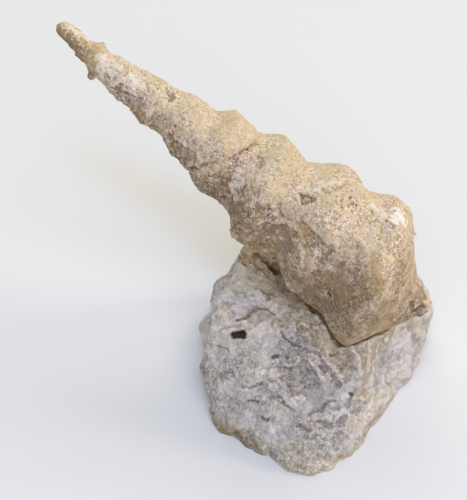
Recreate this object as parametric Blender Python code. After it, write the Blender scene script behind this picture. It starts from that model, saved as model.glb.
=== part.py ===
"""Fossil snail: a turreted, keeled shell lying in a socket in a small lump of limestone.

Units are metres, +Z is up, and the lump rests on z = 0. Dimensions at the top are in millimetres.
"""

import math

import bmesh
import bpy
import numpy as np
from mathutils import Matrix, Vector, geometry, noise

MM = 0.001

# Where things are, in mm. The front lower corner of the stone has y = 0.
FOOT_CENTRE = (1.965, 19.19)
TIP = Vector((-21.73, 38.09, 40.92))
CANAL_END = Vector((24.25, 16.08, 12.83))
SHELL_LENGTH = (CANAL_END - TIP).length
FRONT = Vector((0.0, -1.0, 1.0))

# The shell's winding in mm. Each table has one entry per half turn, right side first, and starts at the
# worn tip. A keel stands at each station, and the waist is the narrowest place between it and the next.
KEEL_STATION = (0.0, 1.2, 2.4, 2.9, 5.9, 6.9, 8.6, 9.2, 11.0, 11.6, 14.4, 15.4, 19.0, 20.8, 24.3, 26.7,
                31.0, 33.9, 39.3, 43.0, 47.1, 51.9, 57.5, 62.5, 68.0)
KEEL_RADIUS = (0.9, 1.1, 1.27, 1.3, 1.6, 2.05, 1.75, 2.5, 2.1, 2.85, 2.72, 3.42, 3.7, 4.05, 5.2, 5.55,
               6.5, 7.7, 8.3, 8.45, 9.25, 9.65, 9.8, 10.0, 10.2)
WAIST_RADIUS = (1.05, 1.1, 0.98, 1.6, 1.35, 2.25, 1.85, 2.7, 2.4, 2.75, 2.85, 3.05, 3.62, 4.4, 4.8, 5.25,
                5.7, 6.1, 7.5, 8.0, 8.6, 9.0, 9.2, 9.4, 9.6)
WAIST_PLACE = 0.43

# The base under the last keel, as distance from the end of the canal against radius, right and left.
BASE_REACH = (0.0, 0.6, 1.6, 2.6, 3.6, 4.6, 5.6, 6.6, 7.6, 8.6, 11.0)
BASE_RIGHT = (1.25, 1.45, 1.8, 2.6, 2.9, 3.8, 4.5, 5.8, 7.0, 8.1, 10.8)
BASE_LEFT = (1.15, 1.3, 3.1, 5.0, 6.7, 8.2, 9.5, 10.4, 11.0, 11.6, 12.4)

# The rise to each keel is steeper than a plain ease by RAMP_POWER. The low knobs on the keels begin at
# KNOB_START (mm), reach full height over KNOB_GROWTH (mm), and dip between by KNOB_DIP of the radius.
RAMP_POWER = 1.15
KNOBS_PER_TURN = 8
KNOB_DIP = 0.045
KNOB_REACH = 0.2
KNOB_START = 12.0
KNOB_GROWTH = 14.0

# Marks on the shell: place along the axis (mm), bearing round it (degrees), height, length, breadth (mm).
SHELL_MARKS = (
    (6.9, 182, 0.8, 0.45, 0.5),
    (16.2, 48, -0.35, 0.35, 0.55),
    (34.6, 120, -0.6, 0.7, 3.0),
    (37.6, 138, -1.0, 1.7, 2.2),
    (37.1, 73, -0.8, 0.6, 0.7),
    (40.4, 103, -0.5, 1.5, 1.2),
    (39.6, 118, 0.45, 1.8, 0.7),
    (42.7, 88, 0.35, 1.2, 1.4),
    (39.6, 46, -0.5, 0.5, 1.6),
    (46.9, 141, -0.3, 0.4, 0.4),
    (47.4, 34, 0.35, 1.4, 1.5),
    (49.4, 90, 0.4, 1.6, 1.8),
    (53.0, 150, -0.35, 1.4, 2.0),
    (54.2, 60, -0.35, 1.0, 1.6),
    (57.2, 80, 0.35, 0.5, 0.6),
)

# The thicker crust on the spire ends in a low step: bearing (degrees) against place along the axis (mm).
CRUST_BEARING = (30, 46, 68, 93, 124, 152, 175, 240, 330)
CRUST_EDGE = (27.4, 28.0, 27.6, 26.5, 24.9, 24.1, 25.0, 26.5, 27.0)
CRUST_HEIGHT = 0.4
CRUST_FADE = 5.0
CRUST_STEP = 0.5

# The worn tip is rounded over this length (mm).
TIP_ROUNDING = 0.7

# The stone's broken faces: compass bearing (0 is +X, 90 is +Y), lean up (degrees), distance from HEART (mm).
HEART = Vector((10.5, 15.5, 6.0))
BROKEN_FACES = (
    (-92, 52, 5.4),
    (-130, 25, 10.2),
    (-100, 10, 13.6),
    (-62, 34, 8.5),
    (-34, 12, 8.8),
    (-14, -30, 12.8),
    (-8, 10, 14.5),
    (184, -4, 14.5),
    (176, -35, 13.0),
    (165, 30, 13.4),
    (148, 12, 17.6),
    (124, 20, 18.2),
    (95, 12, 14.8),
    (62, 14, 16.6),
    (30, 12, 16.9),
    (60, 62, 11.4),
    (-60, 88, 6.1),
)
FACE_SHARPNESS = 26.0

# Uneven relief: the shell's height is a part of its radius. The stone's rows are height, lump size (mm)
# and a seed.
SHELL_RELIEF = 0.045
SHELL_LUMP = 4.0
STONE_RELIEF = ((0.75, 7.0, 11.0), (0.35, 2.6, 5.0))

# Marks on the stone, each from one place to another (mm), with height along the surface and radius (mm).
STONE_MARKS = (
    ((-4.5, 19.2, 5.8), (-4.5, 19.2, 5.8), 0.6, 1.2),
    ((-3.7, 12.4, 3.0), (-4.3, 14.3, 4.0), 0.6, 1.4),
    ((-2.6, 8.3, 0.5), (-2.6, 8.3, 0.5), 0.9, 2.6),
    ((0.8, 28.4, 12.0), (0.8, 28.4, 12.0), 0.9, 2.6),
    ((8.5, 0.6, 0.8), (10.5, 0.2, 0.8), 0.8, 1.8),
    ((-1.6, 15.0, 11.0), (2.3, 15.7, 12.1), -0.9, 0.8),
    ((2.3, 15.7, 12.1), (3.1, 16.8, 12.3), -1.0, 0.8),
    ((3.1, 16.8, 12.3), (6.4, 15.2, 12.1), -0.9, 0.8),
    ((-1.6, 18.0, 11.6), (1.6, 18.2, 12.6), 0.8, 1.6),
    ((3.6, 19.4, 12.4), (5.4, 17.8, 12.2), 0.6, 0.8),
    ((5.0, 25.0, 12.5), (7.0, 22.6, 12.4), -1.0, 1.3),
    ((4.4, 7.4, 6.0), (6.0, 5.6, 5.2), -0.5, 0.8),
    ((9.6, 7.6, 6.8), (13.2, 8.6, 7.0), -0.6, 0.9),
    ((8.0, 4.4, 4.4), (13.0, 5.0, 4.6), 0.6, 1.5),
    ((15.6, 12.0, 9.6), (16.6, 7.6, 4.6), 0.7, 1.5),
    ((18.9, 12.5, 8.4), (19.4, 12.0, 6.0), -0.7, 1.8),
    ((22.4, 17.4, 6.4), (21.8, 15.6, 4.4), 0.5, 1.4),
    ((24.2, 22.5, 11.7), (23.6, 24.0, 12.0), -0.5, 1.6),
    ((-4.4, 20.8, 7.4), (-1.8, 23.6, 9.4), -0.6, 1.3),
    ((15.9, 4.6, 0.4), (15.4, 3.8, 0.4), 0.8, 1.4),
    ((18.5, 8.4, 0.6), (19.0, 9.2, 0.8), -0.7, 1.5),
    ((20.8, 12.6, 1.2), (21.4, 13.4, 1.4), -0.8, 1.5),
    ((23.6, 16.6, 2.8), (23.4, 16.2, 2.4), 0.6, 1.4),
    ((4.6, 2.4, 0.3), (5.8, 1.4, 0.3), -0.6, 1.2),
    ((12.4, 1.2, 0.3), (13.0, 1.6, 0.3), -0.5, 1.1),
)

# Natural holes in the stone: place, direction inward, depth and radius (mm).
STONE_HOLES = (
    ((0.1, 13.7, 10.8), (0.1, 0.65, -0.75), 1.6, 0.55),
    ((1.2, 13.6, 10.7), (0.0, 0.65, -0.75), 1.5, 0.62),
)

# The bed cut in the stone clears the shell by this much (mm), and is cut by a plainer copy of it.
SOCKET_GAP = 0.35
SOCKET_ROWS = 44
SOCKET_SEGMENTS = 28

# Rings along the shell, points round each ring, and the edge angle that stays sharp in shading.
SHELL_ROWS = 64
SHELL_SEGMENTS = 38
SHARP_EDGE = math.radians(50)


def material(name, colour, roughness):
    """A matt stone material."""
    mat = bpy.data.materials.new(name)
    mat.use_nodes = True
    shader = mat.node_tree.nodes["Principled BSDF"]
    shader.inputs["Base Color"].default_value = (*colour, 1.0)
    shader.inputs["Roughness"].default_value = roughness
    shader.inputs["Metallic"].default_value = 0.0
    return mat


def ease(t):
    """Smooth step from 0 to 1."""
    t = np.clip(t, 0.0, 1.0)
    return t * t * (3.0 - 2.0 * t)


def wind(table, half_turns):
    """Read a half-turn table along a smooth curve through its entries."""
    values = np.asarray(table, dtype=float)
    place = np.clip(half_turns, 0.0, len(values) - 1.001)
    i = np.floor(place).astype(int)
    t = place - i
    before = values[np.maximum(i - 1, 0)]
    here = values[i]
    after = values[i + 1]
    beyond = values[np.minimum(i + 2, len(values) - 1)]
    curve = after - before + (2 * before - 5 * here + 4 * after - beyond) * t
    return here + 0.5 * t * (curve + (3 * (here - after) + beyond - before) * t * t)


def whorl_radius(s, bearing):
    """Radius of the coiled whorls at a station s (mm) and a bearing (radians) round the axis."""
    half = bearing / math.pi
    radius = np.interp(s, KEEL_STATION[:3], KEEL_RADIUS[:3])
    for entry in range(0, len(KEEL_STATION) - 3, 2):
        start = wind(KEEL_STATION, half + entry)
        end = wind(KEEL_STATION, half + entry + 2)
        keel = wind(KEEL_RADIUS, half + entry)
        following = wind(KEEL_RADIUS, half + entry + 2)
        waist = wind(WAIST_RADIUS, half + entry)
        f = np.clip((s - start) / (end - start), 0.0, 1.0)
        falling = waist + (keel - waist) * (1.0 - ease(f / WAIST_PLACE))
        rising = waist + (following - waist) * ease((f - WAIST_PLACE) / (1.0 - WAIST_PLACE)) ** RAMP_POWER
        profile = np.where(f < WAIST_PLACE, falling, rising)
        near_keel = np.exp(-((np.minimum(f, 1.0 - f) / KNOB_REACH) ** 2))
        between_knobs = 0.5 - 0.5 * np.cos(KNOBS_PER_TURN * bearing)
        dip = KNOB_DIP * ease((s - KNOB_START) / KNOB_GROWTH)
        profile = profile * (1.0 - dip * near_keel * between_knobs)
        radius = np.where((s >= start) & (s < end), profile, radius)
    return radius


def base_radius(s, bearing):
    """Radius of the base, which narrows under the last keel to the canal."""
    reach = SHELL_LENGTH - s
    right = np.interp(reach, BASE_REACH, BASE_RIGHT)
    left = np.interp(reach, BASE_REACH, BASE_LEFT)
    side = 0.5 - 0.5 * np.cos(bearing)
    return right * (1.0 - side) + left * side


def soft_smaller(a, b, blend):
    """The smaller of two radii, with a rounded change from one to the other."""
    share = np.clip(0.5 + 0.5 * (a - b) / blend, 0.0, 1.0)
    return a * (1.0 - share) + b * share - blend * share * (1.0 - share)


def crust_thickness(s, bearing):
    """Thickness of the crust that covers the spire down to a low step."""
    edge = np.interp(np.degrees(bearing), CRUST_BEARING, CRUST_EDGE, period=360.0)
    return CRUST_HEIGHT * ease((s - edge) / CRUST_FADE + 1.0) * ease((edge - s) / CRUST_STEP + 0.5)


def shell_radius(s, bearing):
    """Outer radius of the whole shell with its marks."""
    blend = np.where(SHELL_LENGTH - s < BASE_REACH[-1], 0.8, 0.05)
    radius = soft_smaller(base_radius(s, bearing), whorl_radius(s, bearing), blend)
    for place, degrees, height, length, breadth in SHELL_MARKS:
        turn = np.angle(np.exp(1j * (bearing - math.radians(degrees))))
        away = ((s - place) / length) ** 2 + (turn * radius / breadth) ** 2
        radius = radius + height * np.exp(-away)
    radius = radius + crust_thickness(s, bearing)
    rounding = np.sqrt(np.clip(1.0 - ((TIP_ROUNDING - s) / (1.3 * TIP_ROUNDING)) ** 2, 0.0, 1.0))
    return np.where(s < TIP_ROUNDING, radius * rounding, radius)


def shell_axes():
    """Unit vectors along the shell's axis, to its right side and to its front."""
    along = (CANAL_END - TIP).normalized()
    front = (FRONT - along * FRONT.dot(along)).normalized()
    right = front.cross(along)
    return along, right, front


def lumps(point, size, seed):
    """Smooth uneven relief, -1 to 1, of a given lump size."""
    return noise.fractal(point / size + Vector((seed, seed * 2.0, 0.0)), 0.6, 2.0, 3)


def from_foot(point):
    """A place of the specimen's own layout, counted from the foot's centre. Both are in mm."""
    return Vector((point.x - FOOT_CENTRE[0], point.y - FOOT_CENTRE[1], point.z))


def solid_from(bm, name, mat):
    """Turn a closed bmesh in mm into a named object in metres with its faces pointing out."""
    bm.normal_update()
    bmesh.ops.recalc_face_normals(bm, faces=bm.faces)
    bm.transform(Matrix.Scale(MM, 4))
    mesh = bpy.data.meshes.new(name)
    bm.to_mesh(mesh)
    bm.free()
    mesh.materials.append(mat)
    mesh.shade_smooth()
    mesh.set_sharp_from_angle(angle=SHARP_EDGE)
    obj = bpy.data.objects.new(name, mesh)
    bpy.context.scene.collection.objects.link(obj)
    return obj


def closed_tube(name, rings, start, end, mat):
    """A closed object through rings of points, capped by a fan at both ends."""
    bm = bmesh.new()
    loops = [[bm.verts.new(from_foot(p)) for p in ring] for ring in rings]
    count = len(loops[0])
    first = bm.verts.new(from_foot(start))
    last = bm.verts.new(from_foot(end))
    for lower, upper in zip(loops, loops[1:]):
        for i in range(count):
            j = (i + 1) % count
            bm.faces.new((lower[i], lower[j], upper[j], upper[i]))
    for i in range(count):
        j = (i + 1) % count
        bm.faces.new((first, loops[0][j], loops[0][i]))
        bm.faces.new((last, loops[-1][i], loops[-1][j]))
    return solid_from(bm, name, mat)


def shell_solid(name, mat, swell=0.0, rows=SHELL_ROWS, segments=SHELL_SEGMENTS):
    """The shell as rings round its axis. swell makes it fatter by that many mm."""
    along, right, front = shell_axes()
    stations = SHELL_LENGTH * np.linspace(0.0, 1.0, rows) ** 0.9
    bearings = np.linspace(0.0, 2.0 * math.pi, segments, endpoint=False)
    grid_s, grid_b = np.meshgrid(stations, bearings, indexing="ij")
    radius = shell_radius(grid_s, grid_b)
    rings = []
    for i, s in enumerate(stations):
        ring = []
        for j, bearing in enumerate(bearings):
            outward = right * math.cos(bearing) + front * math.sin(bearing)
            point = TIP + along * s + outward * radius[i, j]
            relief = lumps(point, SHELL_LUMP, 3.0) * SHELL_RELIEF * radius[i, j]
            ring.append(point + outward * (relief + swell))
        rings.append(ring)
    return closed_tube(name, rings, TIP - along * (0.3 + swell), CANAL_END + along * (0.35 + swell), mat)


def stone_reach(direction):
    """Distance from HEART to the stone's broken faces in a direction, with rounded edges between them."""
    total = 0.0
    for bearing, lean, distance in BROKEN_FACES:
        b = math.radians(bearing)
        e = math.radians(lean)
        normal = Vector((math.cos(b) * math.cos(e), math.sin(b) * math.cos(e), math.sin(e)))
        facing = normal.dot(direction)
        if facing > 0.0:
            total += (facing / distance) ** FACE_SHARPNESS
    return total ** (-1.0 / FACE_SHARPNESS)


def distance_to_run(point, start, end):
    """Distance from a point to the straight run between two places."""
    if start == end:
        return (point - Vector(start)).length
    near, along = geometry.intersect_point_line(point, Vector(start), Vector(end))
    if along < 0.0:
        near = Vector(start)
    if along > 1.0:
        near = Vector(end)
    return (point - near).length


def stone_point(direction):
    """A point of the stone's outer surface."""
    point = HEART + direction * stone_reach(direction)
    relief = sum(height * lumps(point, size, seed) for height, size, seed in STONE_RELIEF)
    for start, end, height, radius in STONE_MARKS:
        relief += height * math.exp(-(distance_to_run(point, start, end) / radius) ** 2)
    return point + direction * relief


def stone_solid(name, mat):
    """The lump of stone: a ball of triangles drawn out to the broken faces, sawn flat underneath."""
    bm = bmesh.new()
    bmesh.ops.create_icosphere(bm, subdivisions=5, radius=1.0)
    for vert in bm.verts:
        vert.co = from_foot(stone_point(vert.co.normalized()))
    cut = bmesh.ops.bisect_plane(bm, geom=bm.verts[:] + bm.edges[:] + bm.faces[:], dist=1e-4,
                                 plane_co=(0, 0, 0), plane_no=(0, 0, -1), clear_outer=True)
    rim = [e for e in cut["geom_cut"] if isinstance(e, bmesh.types.BMEdge)]
    bmesh.ops.holes_fill(bm, edges=rim)
    bmesh.ops.triangulate(bm, faces=bm.faces)
    return solid_from(bm, name, mat)


def hole_cutter(name, mat, place, inward, depth, radius):
    """A long egg shape, centred on the surface, that leaves a round hole."""
    bm = bmesh.new()
    bmesh.ops.create_icosphere(bm, subdivisions=2, radius=1.0)
    turn = Vector(inward).to_track_quat("Z", "Y").to_matrix().to_4x4()
    size = Matrix.Diagonal((radius, radius, depth, 1.0))
    bm.transform(Matrix.Translation(from_foot(Vector(place))) @ turn @ size)
    return solid_from(bm, name, mat)


def cut_away(solid, cutter):
    """Take a cutter's shape out of a solid."""
    cutter.hide_render = True
    cutter.display_type = "WIRE"
    modifier = solid.modifiers.new(cutter.name, "BOOLEAN")
    modifier.operation = "DIFFERENCE"
    modifier.solver = "EXACT"
    modifier.object = cutter


def main():
    for obj in list(bpy.data.objects):
        bpy.data.objects.remove(obj, do_unlink=True)
    shell_stone = material("weathered_shell", (0.62, 0.50, 0.36), 0.85)
    limestone = material("limestone", (0.62, 0.58, 0.54), 0.9)
    shell_solid("shell", shell_stone)
    stone = stone_solid("matrix", limestone)
    cut_away(stone, shell_solid("socket_cutter", limestone, SOCKET_GAP, SOCKET_ROWS, SOCKET_SEGMENTS))
    for index, hole in enumerate(STONE_HOLES):
        cut_away(stone, hole_cutter(f"hole_cutter_{index + 1}", limestone, *hole))


main()
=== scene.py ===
import math

import bmesh
import bpy
import numpy as np
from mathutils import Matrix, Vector, noise


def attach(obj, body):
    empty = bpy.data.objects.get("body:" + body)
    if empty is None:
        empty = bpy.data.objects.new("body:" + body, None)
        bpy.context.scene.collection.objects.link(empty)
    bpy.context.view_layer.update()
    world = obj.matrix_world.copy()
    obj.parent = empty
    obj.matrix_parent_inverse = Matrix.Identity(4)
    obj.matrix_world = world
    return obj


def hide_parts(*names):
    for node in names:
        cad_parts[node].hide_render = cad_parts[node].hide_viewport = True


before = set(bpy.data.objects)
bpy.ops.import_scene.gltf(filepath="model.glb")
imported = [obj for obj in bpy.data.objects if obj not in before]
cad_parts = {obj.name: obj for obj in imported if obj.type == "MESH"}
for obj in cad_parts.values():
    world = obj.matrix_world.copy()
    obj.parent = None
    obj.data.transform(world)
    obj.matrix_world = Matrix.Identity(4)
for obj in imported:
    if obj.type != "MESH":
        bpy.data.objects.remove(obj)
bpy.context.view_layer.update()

mm = 0.001
fullTurn = 2 * math.pi
footCentre = np.array((1.965, 19.19, 0.0))  # taken off every place below, which are in mm


def toLinear(hexColour, alpha=1.0):
    parts = [int(hexColour[i:i + 2], 16) / 255 for i in (1, 3, 5)]
    return tuple(c / 12.92 if c <= 0.04045 else ((c + 0.055) / 1.055) ** 2.4 for c in parts) + (alpha,)


def addNode(tree, kind, inputs=None, stops=None, out=0, **settings):
    # adds a node with its inputs, a ramp's stops and its settings, and gives one of its outputs
    node = tree.nodes.new("ShaderNode" + kind)
    for name, value in settings.items():
        setattr(node, name, value)
    for socket, value in (inputs or {}).items():
        if isinstance(value, bpy.types.NodeSocket):
            tree.links.new(value, node.inputs[socket])
        else:
            node.inputs[socket].default_value = value
    for i, (place, colour) in enumerate(stops or ()):
        stop = node.color_ramp.elements[i] if i < 2 else node.color_ramp.elements.new(place)
        stop.position = place
        stop.color = toLinear(colour)
    return node.outputs[out]


def ease(t):
    t = np.clip(t, 0.0, 1.0)
    return t * t * (3.0 - 2.0 * t)


def noiseAt(points, size, seed, octaves=3, roughness=0.6):
    # smooth relief from about -1 to 1, its lumps size mm across
    rows = (points / size + (seed, seed * 2.0, 0.0)).tolist()
    return np.array([noise.fractal(row, roughness, 2.0, octaves) for row in rows])


def ridgesAt(points, size, seed, octaves=3):
    # sharp crests, 0 to about 1
    rows = (points / size + (seed, seed * 3.0, 0.0)).tolist()
    return np.array([noise.ridged_multi_fractal(row, 0.8, 2.1, octaves, 1.0, 2.0) for row in rows]) / 2.0


def spotsAt(points, spacing, seed):
    # distance to the nearest of scattered spots, in mm
    rows = (points / spacing + (seed, 0.0, seed * 2.0)).tolist()
    return spacing * np.array([noise.voronoi(row)[0][0] for row in rows])


# the shell's form, in mm: the same winding as its solid
shell = {
    "tip": np.array((-21.73, 38.09, 40.92)),
    "canalEnd": np.array((24.25, 16.08, 12.83)),
    "tipDome": (0.7, 0.91),    # how far it runs down the spire, and its radius
    "spireBlend": 0.05,        # how softly the whorls run into the base, far from it and near it
    "baseBlend": 0.8,
    "lump": (4.0, 0.045),      # size, and height as a share of the radius
    "rows": 322,
    "segments": 292,
    "frontShare": 0.22,        # how much closer the points stand on the front than on the back
    "endCaps": (0.3, 0.35),    # how far the middle of the tip and of the canal's end stand out
    "relief": {                # size and height of each kind
        "knuckle": (1.5, 0.07),
        "grain": (0.55, 0.045),
        "flake": (2.6, 0.12),
        "crumb": (0.95, 0.08),
        "wrinkle": (1.4, 0.08),
        "pore": (0.8, -0.1),
        "spike": (0.8, 0.15),
        "thread": (0.62, 0.02),
    },
    "poreRadius": 0.24,
    "warp": 1.1,               # size of the wander that keeps the relief from looking regular
    "roughPatch": 3.2,
    "porousPatch": 4.5,
    "pitted": (43.5, 70.0, 4.0, 3.5),   # the most porous spot: place, bearing, length, breadth
    "leftBearing": 165.0,      # the middle of the side that is weathered most
    "nubStart": 53.5,          # the rough end of the canal
    "nubBearing": 85.0,
    "threadStart": 47.0,
    "sink": 0.05,              # of the whole skin, so that its relief stays within the solid
    "pitDepth": 0.1,           # full dirt and painted shade in a hollow this deep, and full wear and painted highlight on a rise this high
}
shellLength = np.linalg.norm(shell["canalEnd"] - shell["tip"])

# one entry per half turn from the tip, right side first: where a keel stands, its radius, and the
# narrowest radius before the next keel, in mm
keelPlace = (0.0, 1.2, 2.4, 2.9, 5.9, 6.9, 8.6, 9.2, 11.0, 11.6, 14.4, 15.4, 19.0, 20.8, 24.3, 26.7,
             31.0, 33.9, 39.3, 43.0, 47.1, 51.9, 57.5, 62.5, 68.0)
keelRadius = (0.9, 1.1, 1.27, 1.3, 1.6, 2.05, 1.75, 2.5, 2.1, 2.85, 2.72, 3.42, 3.7, 4.05, 5.2, 5.55,
              6.5, 7.7, 8.3, 8.45, 9.25, 9.65, 9.8, 10.0, 10.2)
waistRadius = (1.05, 1.1, 0.98, 1.6, 1.35, 2.25, 1.85, 2.7, 2.4, 2.75, 2.85, 3.05, 3.62, 4.4, 4.8, 5.25,
               5.7, 6.1, 7.5, 8.0, 8.6, 9.0, 9.2, 9.4, 9.6)
waistPlace = 0.43   # of the way from one keel to the next
rampPower = 1.15
knobs = {"perTurn": 8, "dip": 0.045, "reach": 0.2, "start": 12.0, "growth": 14.0}

# the base under the last keel: distance from the canal's end, radius on the right and on the left
baseReach = (0.0, 0.6, 1.6, 2.6, 3.6, 4.6, 5.6, 6.6, 7.6, 8.6, 11.0)
baseRight = (1.25, 1.45, 1.8, 2.6, 2.9, 3.8, 4.5, 5.8, 7.0, 8.1, 10.8)
baseLeft = (1.15, 1.3, 3.1, 5.0, 6.7, 8.2, 9.5, 10.4, 11.0, 11.6, 12.4)

# dents and swellings: place along the axis, bearing in degrees, height, length, breadth
shellMarks = (
    (6.9, 182, 0.8, 0.45, 0.5),
    (16.2, 48, -0.35, 0.35, 0.55),
    (34.6, 120, -0.6, 0.7, 3.0),
    (37.6, 138, -1.0, 1.7, 2.2),
    (37.1, 73, -0.3, 0.5, 0.6),
    (40.4, 103, -0.5, 1.5, 1.2),
    (39.6, 118, 0.45, 1.8, 0.7),
    (42.7, 88, 0.35, 1.2, 1.4),
    (39.6, 46, -0.5, 0.5, 1.6),
    (46.9, 141, -0.3, 0.4, 0.4),
    (47.4, 34, 0.35, 1.4, 1.5),
    (49.4, 90, 0.4, 1.6, 1.8),
    (47.0, 184, 0.4, 3.5, 3.0),
    (54.0, 172, 0.5, 2.2, 3.5),
    (23.8, 180, -0.35, 0.4, 1.2),
    (22.7, 184, -0.35, 0.7, 1.0),
    (24.9, 193, -0.25, 0.6, 1.0),
    (24.6, 167, -0.35, 0.8, 1.0),
    (33.9, 177, -0.45, 0.6, 1.2),
    (25.4, 357, -0.3, 1.4, 2.0),
    (39.9, 11, -0.2, 1.2, 1.5),
    (32.4, 15, -0.15, 0.7, 1.5),
    (11.2, 15, -0.15, 1.0, 1.0),
    (16.9, 177, -0.2, 0.9, 1.0),
    (54.2, 60, -0.35, 1.0, 1.6),
    (57.2, 80, 0.35, 0.5, 0.6),
)
crust = {
    "bearing": (30, 46, 68, 93, 124, 152, 175, 240, 330),
    "edge": (27.4, 28.0, 27.6, 26.5, 24.9, 24.1, 25.0, 26.5, 27.0),
    "height": 0.38,
    "fade": 5.0,
    "step": 0.6,
}


def readTurns(table, halfTurns):
    # a smooth curve through the table's entries
    values = np.asarray(table, dtype=float)
    place = np.clip(halfTurns, 0.0, len(values) - 1.001)
    i = np.floor(place).astype(int)
    t = place - i
    before, here, after = values[np.maximum(i - 1, 0)], values[i], values[i + 1]
    beyond = values[np.minimum(i + 2, len(values) - 1)]
    curve = after - before + (2 * before - 5 * here + 4 * after - beyond) * t
    return here + 0.5 * t * (curve + (3 * (here - after) + beyond - before) * t * t)


def whorlRadius(s, bearing):
    half = bearing / math.pi
    radius = np.interp(s, keelPlace[:3], keelRadius[:3])
    for entry in range(0, len(keelPlace) - 3, 2):
        start = readTurns(keelPlace, half + entry)
        end = readTurns(keelPlace, half + entry + 2)
        keel = readTurns(keelRadius, half + entry)
        following = readTurns(keelRadius, half + entry + 2)
        waist = readTurns(waistRadius, half + entry)
        f = np.clip((s - start) / (end - start), 0.0, 1.0)
        falling = waist + (keel - waist) * (1.0 - ease(f / waistPlace))
        rising = waist + (following - waist) * ease((f - waistPlace) / (1.0 - waistPlace)) ** rampPower
        profile = np.where(f < waistPlace, falling, rising)
        nearKeel = np.exp(-((np.minimum(f, 1.0 - f) / knobs["reach"]) ** 2))
        between = 0.5 - 0.5 * np.cos(knobs["perTurn"] * bearing)
        dip = knobs["dip"] * ease((s - knobs["start"]) / knobs["growth"])
        radius = np.where((s >= start) & (s < end), profile * (1.0 - dip * nearKeel * between), radius)
    return radius


def baseRadius(s, bearing):
    reach = shellLength - s
    side = 0.5 - 0.5 * np.cos(bearing)
    onRight, onLeft = np.interp(reach, baseReach, baseRight), np.interp(reach, baseReach, baseLeft)
    return onRight * (1.0 - side) + onLeft * side


def crustThickness(s, bearing):
    edge = np.interp(np.degrees(bearing), crust["bearing"], crust["edge"], period=360.0)
    return crust["height"] * ease((s - edge) / crust["fade"] + 1.0) * ease((edge - s) / crust["step"] + 0.5)


def awayFrom(s, bearing, radius, place, degrees, length, breadth):
    # 0 at a spot on the shell, 1 at its edge, and more beyond
    turn = np.angle(np.exp(1j * (bearing - math.radians(degrees))))
    return ((s - place) / length) ** 2 + (turn * radius / breadth) ** 2


def shellRadius(s, bearing):
    blend = np.where(shellLength - s < baseReach[-1], shell["baseBlend"], shell["spireBlend"])
    a, b = baseRadius(s, bearing), whorlRadius(s, bearing)
    share = np.clip(0.5 + 0.5 * (a - b) / blend, 0.0, 1.0)
    radius = a * (1.0 - share) + b * share - blend * share * (1.0 - share)
    for place, degrees, height, length, breadth in shellMarks:
        radius = radius + height * np.exp(-awayFrom(s, bearing, radius, place, degrees, length, breadth))
    radius = radius + crustThickness(s, bearing)
    domeReach, domeRadius = shell["tipDome"]
    rounding = np.sqrt(np.clip(1.0 - ((domeReach - s) / domeRadius) ** 2, 0.0, 1.0))
    return np.where(s < domeReach, radius * rounding, radius)


along = (shell["canalEnd"] - shell["tip"]) / shellLength
front = np.array((0.0, -1.0, 1.0))
front = front - along * front.dot(along)
front /= np.linalg.norm(front)
right = np.cross(front, along)


def shellPoint(s, bearing):
    radius = shellRadius(s, bearing)
    outward = np.cos(bearing)[..., None] * right + np.sin(bearing)[..., None] * front
    point = shell["tip"] + s[..., None] * along + radius[..., None] * outward
    size, share = shell["lump"]
    lump = noiseAt(point.reshape(-1, 3), size, 3.0).reshape(radius.shape)
    return point + (lump * share * radius)[..., None] * outward


def shellPlace(points):
    # station along the axis, bearing round it and distance from it
    offset = points - shell["tip"]
    s = offset @ along
    x, y = offset @ right, offset @ front
    return s, np.mod(np.arctan2(y, x), fullTurn), np.hypot(x, y)


# a table of the finished radius, so that the stone can be fitted round the shell
stations, turns = 290, 180
tableS, tableB = np.meshgrid(np.linspace(0.0, shellLength, stations + 1),
                             np.linspace(0.0, fullTurn, turns + 1), indexing="ij")
tableRadius = shellPlace(shellPoint(tableS, tableB).reshape(-1, 3))[2].reshape(tableS.shape)
print("shell winding worked out,", round(float(shellLength), 1), "mm long")


def gapToShell(points):
    # how far outside the shell's surface a point is, less than 0 inside it
    s, bearing, r = shellPlace(points)
    fs = np.clip(s / shellLength, 0.0, 1.0) * stations
    fb = bearing / fullTurn * turns
    i, j = np.minimum(fs.astype(int), stations - 1), np.minimum(fb.astype(int), turns - 1)
    u, v = fs - i, fb - j
    radius = (tableRadius[i, j] * (1 - u) * (1 - v) + tableRadius[i + 1, j] * u * (1 - v)
              + tableRadius[i, j + 1] * (1 - u) * v + tableRadius[i + 1, j + 1] * u * v)
    beyond = np.maximum(np.maximum(-s, s - shellLength), 0.0)
    return np.hypot(np.maximum(r - radius, 0.0), beyond) + np.minimum(r - radius, 0.0) * (beyond == 0.0)


def meshFrom(name, points, faces, material, attributes):
    mesh = bpy.data.meshes.new(name)
    mesh.from_pydata(((points - footCentre) * mm).tolist(), [], faces)
    for key, values in attributes.items():
        layer = mesh.attributes.new(key, "FLOAT", "POINT")
        layer.data.foreach_set("value", np.ascontiguousarray(values, dtype=np.float32))
    mesh.materials.append(material)
    mesh.shade_smooth()
    mesh.update()
    obj = bpy.data.objects.new(name, mesh)
    bpy.context.scene.collection.objects.link(obj)
    return obj


def normalsOf(points, faces):
    mesh = bpy.data.meshes.new("normals")
    mesh.from_pydata(points.tolist(), [], faces)
    normals = np.empty(len(points) * 3, dtype=np.float32)
    mesh.vertex_normals.foreach_get("vector", normals)
    bpy.data.meshes.remove(mesh)
    return normals.reshape(-1, 3).astype(float)
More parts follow.
